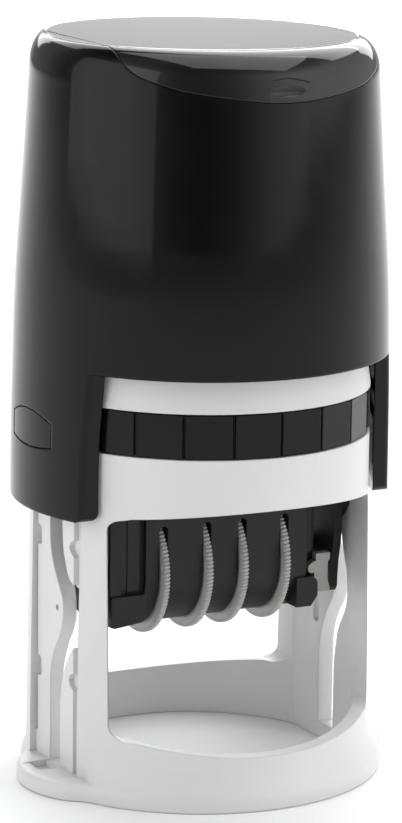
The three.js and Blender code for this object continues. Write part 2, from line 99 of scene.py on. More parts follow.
def make(name, verts, faces):
    me = bpy.data.meshes.new(name)
    me.from_pydata([tuple(map(float, v)) for v in verts], [], faces)
    me.update()
    ob = bpy.data.objects.new(name, me)
    scene.collection.objects.link(ob)
    # every closed form faces outwards
    vol = 0.0
    for p in me.polygons:
        a = me.vertices[p.vertices[0]].co
        for i in range(1, len(p.vertices) - 1):
            vol += a.dot(me.vertices[p.vertices[i]].co.cross(me.vertices[p.vertices[i + 1]].co))
    if vol < 0:
        me.flip_normals()
    return ob


def loft(name, rings, closed=False):
    """Rings of equal length, joined into a solid: capped at both ends, or joined end to end."""
    n = len(rings[0])
    verts = [v for r in rings for v in r]
    faces = []
    m = len(rings)
    for k in range(m if closed else m - 1):
        a, b = k * n, ((k + 1) % m) * n
        for i in range(n):
            j = (i + 1) % n
            faces.append((a + i, a + j, b + j, b + i))
    if not closed:
        faces.append(tuple(range(n - 1, -1, -1)))
        faces.append(tuple((m - 1) * n + i for i in range(n)))
    return make(name, verts, faces)


def turned(name, profile, seg=240, closed=False):
    """A revolved form about Z from (radius, z) points off the axis; open profiles are capped flat."""
    rings = []
    for r, z in profile:
        rings.append([(r * math.cos(TAU * i / seg), r * math.sin(TAU * i / seg), z) for i in range(seg)])
    return loft(name, rings, closed)


def box(x0, x1, y0, y1, z0, z1):
    v = [(x, y, z) for x in (x0, x1) for y in (y0, y1) for z in (z0, z1)]
    f = [(0, 1, 3, 2), (4, 6, 7, 5), (0, 4, 5, 1), (2, 3, 7, 6), (0, 2, 6, 4), (1, 5, 7, 3)]
    return make("tool", v, f)


def prism(axis, outline, a, b):
    """An outline of two-number points pushed along an axis from a to b."""
    put = {
        "x": lambda p, t: (t, p[0], p[1]),
        "y": lambda p, t: (p[0], t, p[1]),
        "z": lambda p, t: (p[0], p[1], t),
    }[axis]
    return loft("tool", [[put(p, a) for p in outline], [put(p, b) for p in outline]])


def arc(cx, cy, r, a0, a1, n):
    return [
        (cx + r * math.cos(math.radians(a0 + (a1 - a0) * i / n)), cy + r * math.sin(math.radians(a0 + (a1 - a0) * i / n)))
        for i in range(n + 1)
    ]


def cyl_x(r, x0, x1, y, z, seg=64):
    return prism("x", [(y + p, z + q) for p, q in arc(0, 0, r, 0, 360 - 360 / seg, seg - 1)], x0, x1)


def cyl_z(r, z0, z1, x=0, y=0, seg=96):
    return prism("z", [(x + p, y + q) for p, q in arc(0, 0, r, 0, 360 - 360 / seg, seg - 1)], z0, z1)


def mirrored(ob, axis=0):
    me = ob.data.copy()
    for v in me.vertices:
        v.co[axis] = -v.co[axis]
    me.flip_normals()
    me.update()
    out = bpy.data.objects.new(ob.name + "_m", me)
    scene.collection.objects.link(out)
    return out


def solid_op(a, b, op):
    m = a.modifiers.new("op", "BOOLEAN")
    m.operation, m.solver, m.object = op, "MANIFOLD", b
    dg = bpy.context.evaluated_depsgraph_get()
    me = bpy.data.meshes.new_from_object(a.evaluated_get(dg), depsgraph=dg)
    a.modifiers.clear()
    old, a.data = a.data, me
    bpy.data.meshes.remove(old)
    gone = b.data
    bpy.data.objects.remove(b, do_unlink=True)
    if gone.users == 0:
        bpy.data.meshes.remove(gone)
    return a


def cut(a, *tools):
    for t in tools:
        solid_op(a, t, "DIFFERENCE")
    return a


def join(a, *tools):
    for t in tools:
        solid_op(a, t, "UNION")
    return a


def keep(a, *tools):
    for t in tools:
        solid_op(a, t, "INTERSECT")
    return a


def done(ob, name, body, material, nodes=(), angle=30, surfaces=()):
    """Names, scales, shades and mounts a finished piece. surfaces gives the true normals of its curved faces."""
    ob.name = name
    me = ob.data
    me.name = name
    me.materials.clear()
    me.materials.append(material)
    for p in me.polygons:
        p.use_smooth = True
        p.material_index = 0
    me.set_sharp_from_angle(angle=math.radians(angle))
    if surfaces:
        true_normals(me, surfaces)
    me.transform(Matrix.Scale(0.001, 4))
    me.update()
    if nodes:
        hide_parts(*nodes)
    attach(ob, body)
    return ob


def true_normals(me, surfaces):
    """Gives each corner on a named surface the normal of the true curve instead of the facets' mean."""
    n = len(me.loops)
    corner = np.zeros(n * 3)
    me.corner_normals.foreach_get("vector", corner)
    corner = corner.reshape(-1, 3)
    vi = np.zeros(n, int)
    me.loops.foreach_get("vertex_index", vi)
    co = np.zeros(len(me.vertices) * 3)
    me.vertices.foreach_get("co", co)
    co = co.reshape(-1, 3)[vi]
    fn = np.zeros(len(me.polygons) * 3)
    me.polygons.foreach_get("normal", fn)
    total = np.zeros(len(me.polygons), int)
    me.polygons.foreach_get("loop_total", total)
    fn = np.repeat(fn.reshape(-1, 3), total, axis=0)
    for surface in surfaces:
        on, want = surface(co)
        hit = on & ((fn * want).sum(1) > math.cos(math.radians(11)))
        corner[hit] = want[hit]
    me.normals_split_custom_set([tuple(c) for c in corner])


def round_wall(radius, outward=True, tol=0.04):
    """A cylinder or cone about Z: radius is a number or a function of z."""
    f = radius if callable(radius) else (lambda z: np.full_like(z, radius))

    def surface(co):
        r = np.hypot(co[:, 0], co[:, 1])
        z = co[:, 2]
        want_r = f(z)
        slope = (f(z + 0.05) - f(z - 0.05)) / 0.1
        k = 1 / np.sqrt(1 + slope * slope)
        rr = np.maximum(r, 1e-9)
        want = np.stack([co[:, 0] / rr * k, co[:, 1] / rr * k, -slope * k], 1)
        return np.abs(r - want_r) < tol, want if outward else -want

    return surface


# ------------------------------------------------------------------ materials
def shader(name):
    m = bpy.data.materials.new(name)
    m.use_nodes = True
    nt = m.node_tree
    nt.nodes.clear()
    out = nt.nodes.new("ShaderNodeOutputMaterial")
    b = nt.nodes.new("ShaderNodeBsdfPrincipled")
    nt.links.new(b.outputs[0], out.inputs[0])
    return m, nt, b


def place(nt):
    c = nt.nodes.new("ShaderNodeTexCoord")
    return c.outputs["Object"]


def noise(nt, scale, detail=3.0, rough=0.5, stretch=None):
    n = nt.nodes.new("ShaderNodeTexNoise")
    n.inputs["Scale"].default_value = scale
    n.inputs["Detail"].default_value = detail
    n.inputs["Roughness"].default_value = rough
    src = place(nt)
    if stretch:
        mp = nt.nodes.new("ShaderNodeMapping")
        mp.inputs["Scale"].default_value = stretch
        nt.links.new(src, mp.inputs["Vector"])
        src = mp.outputs["Vector"]
    nt.links.new(src, n.inputs["Vector"])
    return n.outputs["Fac"]


def ramp(nt, fac, stops):
    r = nt.nodes.new("ShaderNodeValToRGB")
    el = r.color_ramp.elements
    while len(el) > 1:
        el.remove(el[-1])
    el[0].position, el[0].color = stops[0][0], stops[0][1]
    for pos, col in stops[1:]:
        e = el.new(pos)
        e.color = col
    nt.links.new(fac, r.inputs["Fac"])
    return r.outputs["Color"]


def grey(v, a=1.0):
    return (v, v, v, a)


def spread(nt, fac, lo, hi):
    m = nt.nodes.new("ShaderNodeMapRange")
    m.inputs["From Min"].default_value = 0.3
    m.inputs["From Max"].default_value = 0.7
    m.inputs["To Min"].default_value = lo
    m.inputs["To Max"].default_value = hi
    nt.links.new(fac, m.inputs["Value"])
    return m.outputs["Result"]


def relief(nt, bsdf, layers, edge=0.0):
    """Chains bump layers of (height, strength, distance in metres), over softly rounded edges."""
    last = None
    if edge:
        e = nt.nodes.new("ShaderNodeBevel")
        e.samples = 4
        e.inputs["Radius"].default_value = edge
        last = e.outputs["Normal"]
    for h, strength, dist in layers:
        b = nt.nodes.new("ShaderNodeBump")
        b.inputs["Strength"].default_value = strength
        b.inputs["Distance"].default_value = dist
        nt.links.new(h, b.inputs["Height"])
        if last is not None:
            nt.links.new(last, b.inputs["Normal"])
        last = b.outputs["Normal"]
    if last is not None:
        nt.links.new(last, bsdf.inputs["Normal"])


def moulded(name, base, rough, vary=0.06, rough_vary=0.05, grain=0.0, grain_scale=2500, edge=0.00025, spec=0.5, coat=0.0,
            tint=(1, 1, 1), subsurface=0.0, wave=0.0):
    """Injection-moulded plastic: slight colour drift, uneven sheen, fine tool grain and gently uneven faces."""
    m, nt, b = shader(name)
    drift = noise(nt, 60, 2.0)
    lo = [c * base * (1 - vary) for c in tint]
    hi = [c * base * (1 + vary) for c in tint]
    nt.links.new(ramp(nt, drift, [(0.35, (*lo, 1)), (0.65, (*hi, 1))]), b.inputs["Base Color"])
    nt.links.new(spread(nt, noise(nt, 220, 4.0, 0.6), rough - rough_vary, rough + rough_vary), b.inputs["Roughness"])
    b.inputs["Specular IOR Level"].default_value = spec
    b.inputs["IOR"].default_value = 1.5
    if coat:
        b.inputs["Coat Weight"].default_value = coat
        b.inputs["Coat Roughness"].default_value = 0.03
    if subsurface:
        b.inputs["Subsurface Weight"].default_value = subsurface
        b.inputs["Subsurface Radius"].default_value = (0.0012, 0.0011, 0.001)
        b.inputs["Subsurface Scale"].default_value = 1.0
    layers = []
    if wave:
        layers.append((noise(nt, 28, 1.0), wave, 0.0004))
    if grain:
        layers.append((noise(nt, grain_scale, 2.0, 0.6), grain, 0.00003))
    relief(nt, b, layers, edge)
    return m


def metal(name, base, rough, stretch=(1, 1, 60)):
    m, nt, b = shader(name)
    b.inputs["Metallic"].default_value = 1.0
    streak = noise(nt, 300, 4.0, 0.6, stretch)
    nt.links.new(ramp(nt, streak, [(0.3, grey(base * 0.88)), (0.7, grey(base * 1.08))]), b.inputs["Base Color"])
    nt.links.new(spread(nt, streak, rough - 0.06, rough + 0.08), b.inputs["Roughness"])
    relief(nt, b, [(streak, 0.12, 0.00003)], 0.00012)
    return m


M_CAP = moulded("cap_gloss_black", 0.0035, 0.07, spec=0.21, vary=0.12, rough_vary=0.02, grain=0.012, grain_scale=900, edge=0.00035, tint=(0.97, 0.99, 1.03), wave=0.02)
M_TRIM = moulded("trim_gloss_black", 0.0045, 0.18, spec=0.2, vary=0.15, rough_vary=0.04, grain=0.05, grain_scale=1800, edge=0.0002, tint=(0.98, 1, 1.03))
M_INNER = moulded("inner_satin_black", 0.011, 0.42, spec=0.26, vary=0.15, rough_vary=0.06, grain=0.35, grain_scale=3200, edge=0.00025, tint=(0.98, 1, 1.04))
M_WHITE = moulded("body_white", 0.70, 0.42, vary=0.012, rough_vary=0.05, grain=0.18, grain_scale=2600, edge=0.0004, tint=(1, 1.0, 1.004), subsurface=0.0)
M_WHEEL = moulded("wheel_white", 0.46, 0.38, vary=0.02, rough_vary=0.06, grain=0.15, grain_scale=3000, edge=0.00012, tint=(1, 0.995, 0.98))
M_NATURAL = moulded("natural_plastic", 0.36, 0.4, vary=0.04, rough_vary=0.06, grain=0.15, grain_scale=2600, edge=0.0002, tint=(1, 0.99, 0.96))
M_BAND = moulded("band_rubber", 0.022, 0.66, vary=0.2, rough_vary=0.08, grain=0.5, grain_scale=2800, edge=0.0002)
M_PLATE = moulded("plate_rubber", 0.085, 0.62, vary=0.12, rough_vary=0.08, grain=0.4, grain_scale=2600, edge=0.0002, tint=(1.05, 0.98, 0.95))
M_CARD = moulded("index_card_dark", 0.012, 0.55, vary=0.25, rough_vary=0.1, grain=0.3, grain_scale=1800, edge=0.0)
M_STEEL = metal("spring_steel", 0.55, 0.26)
M_AXLE = metal("axle_steel", 0.6, 0.22, (60, 1, 1))


def clear_window():
    m, nt, b = shader("window_clear")
    drift = noise(nt, 45, 2.0)
    nt.links.new(ramp(nt, drift, [(0.35, (0.012, 0.0125, 0.0135, 1)), (0.65, (0.016, 0.0165, 0.0175, 1))]), b.inputs["Base Color"])
    nt.links.new(spread(nt, noise(nt, 160, 4.0, 0.6), 0.025, 0.055), b.inputs["Roughness"])
    b.inputs["IOR"].default_value = 1.49
    b.inputs["Specular IOR Level"].default_value = 0.36
    b.inputs["Transmission Weight"].default_value = 0.3
    relief(nt, b, [(noise(nt, 26, 1.0), 0.015, 0.0004)], 0.0003)
    return m


def pad_felt():
    m, nt, b = shader("ink_pad_felt")
    f = noise(nt, 1800, 6.0, 0.75)
    nt.links.new(ramp(nt, f, [(0.3, (0.006, 0.006, 0.014, 1)), (0.7, (0.026, 0.026, 0.05, 1))]), b.inputs["Base Color"])
    nt.links.new(spread(nt, noise(nt, 300, 4.0), 0.5, 0.85), b.inputs["Roughness"])
    b.inputs["Sheen Weight"].default_value = 0.25
    relief(nt, b, [(f, 0.7, 0.0001), (noise(nt, 500, 3.0), 0.4, 0.0001)])
    return m


M_WINDOW = clear_window()
M_FELT = pad_felt()

# ------------------------------------------------------------------ cap
CAP_R = [
    (50.0, 35.08), (58.0, 35.06), (67.0, 34.96), (77.0, 34.72), (84.8, 34.54), (92.0, 34.27), (100.0, 33.79), (105.0, 33.45), (110.0, 33.11),
    (118.0, 32.6), (125.0, 32.18), (129.0, 31.95),
]


def cap_r(z):
    return np.array(hermite(CAP_R, z))


def crease(theta):
    """Where the top ends: radius and height."""
    k = math.sin(theta)
    return 28.7 + (1.1 * k if k > 0 else -2.9 * k * k), 135.88 + 0.47 * k


def cap_rings(seg, z0, shrink=0.0, drop=0.0):
    """The cap's outside from z0 up over the top, drawn in by shrink at the sides and by drop at the top."""
    side = [z for z in np.linspace(z0, 129.0, max(3, int((129 - z0) / 2.2)))]
    rad = hermite(CAP_R, side)
    th = [TAU * i / seg for i in range(seg)]
    rings = [[((r - shrink) * math.cos(t), (r - shrink) * math.sin(t), z) for t in th] for z, r in zip(side, rad)]
    r1 = rad[-1]
    steps = [s / 14 for s in range(1, 15)]
    for s in steps:
        ring = []
        for t in th:
            rc, zc = crease(t)
            w = r1 - rc
            p0, p1 = (r1, 129.0), (r1 - 0.02 * w, 129.0 + 0.68 * (zc - 129.0))
            p2, p3 = (rc + 0.42 * w, zc - 0.42 * w * math.tan(math.radians(6.5))), (rc, zc)
            b = [(1 - s) ** 3, 3 * s * (1 - s) ** 2, 3 * s * s * (1 - s), s ** 3]
            r = sum(k * p[0] for k, p in zip(b, (p0, p1, p2, p3)))
            z = sum(k * p[1] for k, p in zip(b, (p0, p1, p2, p3)))
            ring.append(((r - shrink * (1 - s)) * math.cos(t), (r - shrink * (1 - s)) * math.sin(t), z - drop * s))
        rings.append(ring)
    # a fine groove runs just inside the edge of the top
    for k, rise in ((0.994, -0.2), (0.986, -0.2), (0.98, 0.02), (0.95, 0.04), (0.8, 0.07), (0.4, 0.1), (0.02, 0.1)):
        ring = []
        for t in th:
            rc, zc = crease(t)
            ring.append((rc * k * math.cos(t), rc * k * math.sin(t), 135.88 + (zc - 135.88) * k + rise - drop))
        rings.append(ring)
    return rings


LENS = [
    (-25.3, 134.6), (-25.2, 133.5), (-24.95, 132.6), (-24.2, 131.6), (-22.9, 130.75), (-21, 129.95), (-18, 128.95), (-14, 128.2), (-9.5, 127.6),
    (-4.8, 127.1), (0, 126.9), (4.8, 127.1), (9.5, 127.6), (14, 128.2), (18, 128.95), (21, 129.95), (22.9, 130.75), (24.2, 131.6), (24.95, 132.6),
    (25.2, 133.5), (25.3, 134.6),
]


def lens_outline(g):
    """The window's outline seen from the front, grown by g."""
    fine = []
    pts = LENS
    for i in range(len(pts) - 1):
        p = [pts[max(0, i - 1)], pts[i], pts[i + 1], pts[min(len(pts) - 1, i + 2)]]
        for k in range(4):
            t = k / 4
            q = []
            for a in (0, 1):
                v0, v1, v2, v3 = (w[a] for w in p)
                q.append(0.5 * (2 * v1 + (v2 - v0) * t + (2 * v0 - 5 * v1 + 4 * v2 - v3) * t * t + (3 * v1 - v0 - 3 * v2 + v3) * t ** 3))
            fine.append(tuple(q))
    fine.append(pts[-1])
    out = [(-LENS_X - g, 150.0), (-LENS_X - g, 136.0)]
    for i, (x, z) in enumerate(fine):
        a, b = fine[max(0, i - 1)], fine[min(len(fine) - 1, i + 1)]
        l = math.hypot(b[0] - a[0], b[1] - a[1])
        out.append((x + (b[1] - a[1]) / l * g, z - (b[0] - a[0]) / l * g))
    return out + [(LENS_X + g, 136.0), (LENS_X + g, 150.0)]


def arm_outside(side):
    """One arm: the cap's wall carried down, with flat sides and rounded long edges."""
    rings = []
    for z in [ARM_BOTTOM, ARM_BOTTOM + 0.12, ARM_BOTTOM + 0.45] + list(np.linspace(52.5, CAP_EDGE + 1.2, 16)):
        r = hermite(CAP_R, z)[0]
        if z < ARM_BOTTOM + 0.4:
            r -= 0.35 if z == ARM_BOTTOM else 0.12
        w = hermite([(50, 15.3), (57, 15.3), (66, 15.5), (72, 15.95), (78.5, 16.4), (82, 16.5)], z)[0]
        rf = 1.5
        cx = math.sqrt((r - rf) ** 2 - (w - rf) ** 2)
        pts = [(14.0, -w)]
        a1 = math.degrees(math.atan2(-(w - rf), cx))
        pts += arc(cx, -(w - rf), rf, -90, a1, 8)
        pts += [(r * math.cos(math.radians(a)), r * math.sin(math.radians(a))) for a in np.linspace(a1, -a1, 46)[1:-1]]
        pts += arc(cx, w - rf, rf, -a1, 90, 8) + [(14.0, w)]
        rings.append([(side * x, y, z) for x, y in pts])
    return loft("arm", rings)


def button_outline(g):
    w = 7.8
    return (
        [(-w - g, 64.05 - g * 0.6)]
        + [(x, 64.05 - g - 0.75 * (1 - (x / w) ** 2)) for x in np.linspace(-7.4, 7.4, 17)]
        + [(w + g, 64.05 - g * 0.6), (w + g, 68.1 + g * 0.6)]
        + [(x, 68.1 + g + 1.85 * (1 - (x / w) ** 2)) for x in np.linspace(7.4, -7.4, 17)]
        + [(-w - g, 68.1 + g * 0.6)]
    )


def cap_pieces():
    SEG = 288
    rings = cap_rings(SEG, CAP_EDGE)
    # the lower edge is softly rounded
    low = []
    for dz, dr in ((0.0, 0.42), (0.08, 0.22), (0.24, 0.06), (0.5, 0.0)):
        r = hermite(CAP_R, CAP_EDGE + dz)[0] - dr
        low.append([(r * math.cos(TAU * i / SEG), r * math.sin(TAU * i / SEG), CAP_EDGE + dz) for i in range(SEG)])
    shell = loft("cap", low + rings[1:])
    join(shell, arm_outside(1), arm_outside(-1))
    # lower corners of the arms
    for s in (-1, 1):
        c = [(s * y, z) for y, z in [(-20, 49), (-13.2, 49), (-13.2, ARM_BOTTOM)] + arc(-13.3, ARM_BOTTOM + 2.1, 2.1, 270, 186, 12) + [(-20, ARM_BOTTOM + 2.4)]]
        cut(shell, prism("x", c, -60, 60))
    cavity = turned("tool", [(R_ARM_IN, 40), (R_ARM_IN, 78.5), (32.05, 81.5), (31.85, 98), (31.65, 110.8), (30.6, 119), (30.4, 122.4), (28.1, 126.0), (28.1, CAP_CEILING)], 192)
    cut(shell, cavity)
    # seat of the window and its card
    seat = cut(prism("y", lens_outline(0.13), -60, 60), loft("tool", cap_rings(144, 100.0, 1.75, 2.45)))
    cut(shell, seat)
    for s in (-1, 1):
        cut(shell, prism("x", button_outline(0.22), s * 25 if s > 0 else -40, 40 if s > 0 else -25))
    for y in (-18, 18):
        join(shell, cyl_z(2.6, 118.8, CAP_CEILING + 0.2, 0, y, 40), cyl_z(1.5, 115.2, 119, 0, y, 32))
    wall = round_wall(lambda z: np.array(hermite(CAP_R, z)))

    def on_side(co):
        on, want = wall(co)
        return on & (co[:, 2] < 128.9) & (co[:, 2] > ARM_BOTTOM + 0.4), want

    done(shell, "cap_shell_detailed", "cap", M_CAP, ["cap_shell"], angle=32, surfaces=[on_side, round_wall(lambda z: np.where(z < 78.5, R_ARM_IN, 1e3), False)])

    # clear window
    lens = prism("y", lens_outline(0.0), -60, 60)
    keep(lens, loft("tool", cap_rings(SEG, 120.0, -0.06, -0.04)), box(-60, 60, -60, 60, 126, 150))
    cut(lens, loft("tool", cap_rings(144, 100.0, 1.35, 1.4)))
    # a slim slot below the crease, and a thumb grip on the front slope: a dished oval under a fine arc
    cut(lens, box(1.2, 3.5, -30.55, -30.2, 134.4, 140))
    oval = loft("tool", [
        [(-0.4 + 4.9 * math.cos(f) * math.cos(TAU * i / 40), -32.55 + 0.95 * math.sin(f), 128.9 + 1.25 * math.cos(f) * math.sin(TAU * i / 40)) for i in range(40)]
        for f in [math.radians(a) for a in range(-84, 85, 12)]
    ])
    cut(lens, oval)
    for k in range(-4, 4):
        x0, x1 = -0.4 + k * 1.1, -0.4 + (k + 1) * 1.1
        h0, h1 = (130.9 - 0.045 * (x + 0.4) ** 2 for x in (x0, x1))
        cut(lens, prism("y", [(x0, h0), (x1 + 0.02, h1), (x1 + 0.02, h1 + 0.2), (x0, h0 + 0.2)], -34, -31.5))
    done(lens, "index_window_detailed", "index_window", M_WINDOW, ["index_window"], angle=20)

    # lock buttons, sitting slightly below the cap's surface
    for s, side in ((1, "right"), (-1, "left")):
        b = prism("x", button_outline(0.0), 33.75, 40)
        body = turned("tool", [(r - 0.05, z) for z, r in zip(np.linspace(50, 80, 16), hermite(CAP_R, np.linspace(50, 80, 16)))], 288)
        keep(b, body)
        if s < 0:
            m = mirrored(b)
            gone = b.data
            bpy.data.objects.remove(b, do_unlink=True)
            b = m
        done(b, f"lock_button_{side}_detailed", f"lock_button_{side}", M_CAP, [f"lock_button_{side}"], surfaces=[round_wall(lambda z: np.array(hermite(CAP_R, z)) - 0.05)])


# ------------------------------------------------------------------ white body
# the slot in each column as (z, y): on the outer face, just inside it, and on the inner face
REAR_OUT = [
    (62.6, 1.15), (54.0, 1.15), (48.5, 1.15), (44.8, 1.0), (42.1, 0.35), (39.6, -0.95), (37.2, -2.7), (35.1, -4.2), (33.0, -4.65), (31.0, -4.45),
    (28.0, -3.2), (25.6, -1.5), (22.4, 0.15), (19.3, 0.8), (14.6, 0.9), (3.1, 0.9),
]
REAR_IN = [
    (62.6, 1.7), (54.0, 1.7), (48.4, 1.7), (44.5, 1.1), (41.8, 0.0), (39.4, -1.6), (36.9, -3.6), (35.0, -4.2), (33.0, -4.3), (31.0, -4.2),
    (28.3, -3.0), (25.8, -1.3), (22.0, 0.5), (18.8, 1.3), (14.6, 1.5), (3.1, 1.4),
]
FRONT_OUT = [
    (3.1, -3.4), (14.0, -3.4), (17.0, -3.6), (19.7, -4.2), (22.0, -5.2), (24.5, -6.65), (25.5, -7.5), (26.4, -8.3), (27.3, -9.5), (28.2, -10.5),
    (30.0, -10.56), (36.8, -10.56), (38.2, -10.5), (38.5, -9.4), (38.9, -7.9), (40.0, -6.5), (42.15, -5.4), (44.2, -4.55), (46.9, -4.2), (49.7, -4.05),
    (62.6, -4.05),
]
FRONT_MID = [
    (3.1, -4.3), (14.0, -4.3), (17.0, -4.45), (19.7, -4.95), (22.4, -5.6), (24.4, -6.5), (25.6, -7.4), (26.6, -8.3), (27.4, -9.4), (28.2, -10.5),
    (30.0, -10.56), (36.5, -10.56), (37.6, -10.5), (37.95, -9.4), (38.3, -7.9), (40.0, -6.7), (43.4, -6.0), (47.5, -5.2), (49.5, -4.7), (52.5, -4.3),
    (62.6, -4.3),
]
FRONT_IN = [
    (3.1, -4.3), (14.0, -4.3), (17.0, -4.4), (19.7, -4.9), (22.4, -5.45), (24.3, -6.3), (25.6, -7.1), (26.8, -7.8), (28.0, -8.35), (29.2, -8.7),
    (30.6, -8.87), (34.0, -8.6), (36.0, -8.1), (37.3, -7.6), (38.6, -7.15), (40.0, -6.7), (43.4, -6.0), (47.5, -5.2), (49.5, -4.7), (52.5, -4.3),
    (62.6, -4.3),
]
FLARE = [
    (0.0, 34.4), (0.35, 34.65), (1.2, 34.7), (2.2, 34.6), (3.0, 34.35), (3.8, 33.85), (5.0, 33.15), (6.4, 32.55), (8.0, 32.15), (10.0, 31.95), (12.0, R_POST),
]


def post_r(z):
    """The body's draft: widest just above the foot."""
    return np.interp(z, [12.0, 30.0, 52.0], [R_POST, 31.65, R_FRAME])


def fine_curve(points, k=7):
    """Catmull-Rom curve through (z, y) points as (y, z), with the same count for lists of the same length."""
    out = []
    for i in range(len(points) - 1):
        p = [points[max(0, i - 1)], points[i], points[i + 1], points[min(len(points) - 1, i + 2)]]
        for j in range(k):
            t = j / k
            q = []
            for a in (0, 1):
                v0, v1, v2, v3 = (w[a] for w in p)
                q.append(0.5 * (2 * v1 + (v2 - v0) * t + (2 * v0 - 5 * v1 + 4 * v2 - v3) * t * t + (3 * v1 - v0 - 3 * v2 + v3) * t ** 3))
            out.append((max(q[1], -10.58), q[0]))
    out.append((points[-1][1], points[-1][0]))
    return out


def slot_tool(rings):
    """A slot through a column from (x, rear points, front points) rings."""
    return loft("tool", [[(x, y, z) for y, z in fine_curve(rear) + fine_curve(front)] for x, rear, front in rings])


REAR_FLARE = [(0.0, 32.65), (0.35, 32.88), (1.2, R_REAR), (2.0, 32.8), (2.8, 32.5), (3.8, 32.15), (5.0, 31.98), (7.0, R_POST), (12.0, R_POST)]


def foot_r(theta, z):
    """Outline of the foot: flared at the front, close to the body at the rear, with a lug at each side."""
    y = R_POST * math.sin(theta)
    front = smoothstep(-y, 11.9, 16.2)
    rear = smoothstep(y, 6.0, 11.0)
    flare = hermite(FLARE, z)[0]
    back = hermite(REAR_FLARE, z)[0]
    base = R_POST + (flare - R_POST) * front
    if y > 0:
        base = R_POST + (back - R_POST) * rear
    if z > FOOT_H + 1e-6:
        return base
    # the lug is a wide arc set a little to the front
    c, k = math.cos(theta), math.sin(theta)
    cx, cy, lr = (LUG_X - (15.0 if c > 0 else 17.0)) * (1 if c > 0 else -1), (-2.4 if c > 0 else -3.6), (14.4 if c > 0 else 17.0)
    b = c * cx + k * cy
    disc = b * b - (cx * cx + cy * cy - lr * lr)
    lug = b + math.sqrt(disc) if disc > 0 else 0.0
    lug = max(lug, (R_FOOT if y < 4 else 0.0))
    rim = max(0.0, (z - (FOOT_H - 1.3)) / 1.3)
    lug -= 1.3 * (1 - math.sqrt(max(0.0, 1 - rim * rim))) if rim > 0 else 0
    if z < 0.35:
        lug -= 0.35 * (1 - math.sqrt(max(0, 1 - (1 - z / 0.35) ** 2)))
    if front > 0:
        return max(base, lug * (1 - front) + flare * front)
    return max(base, lug)


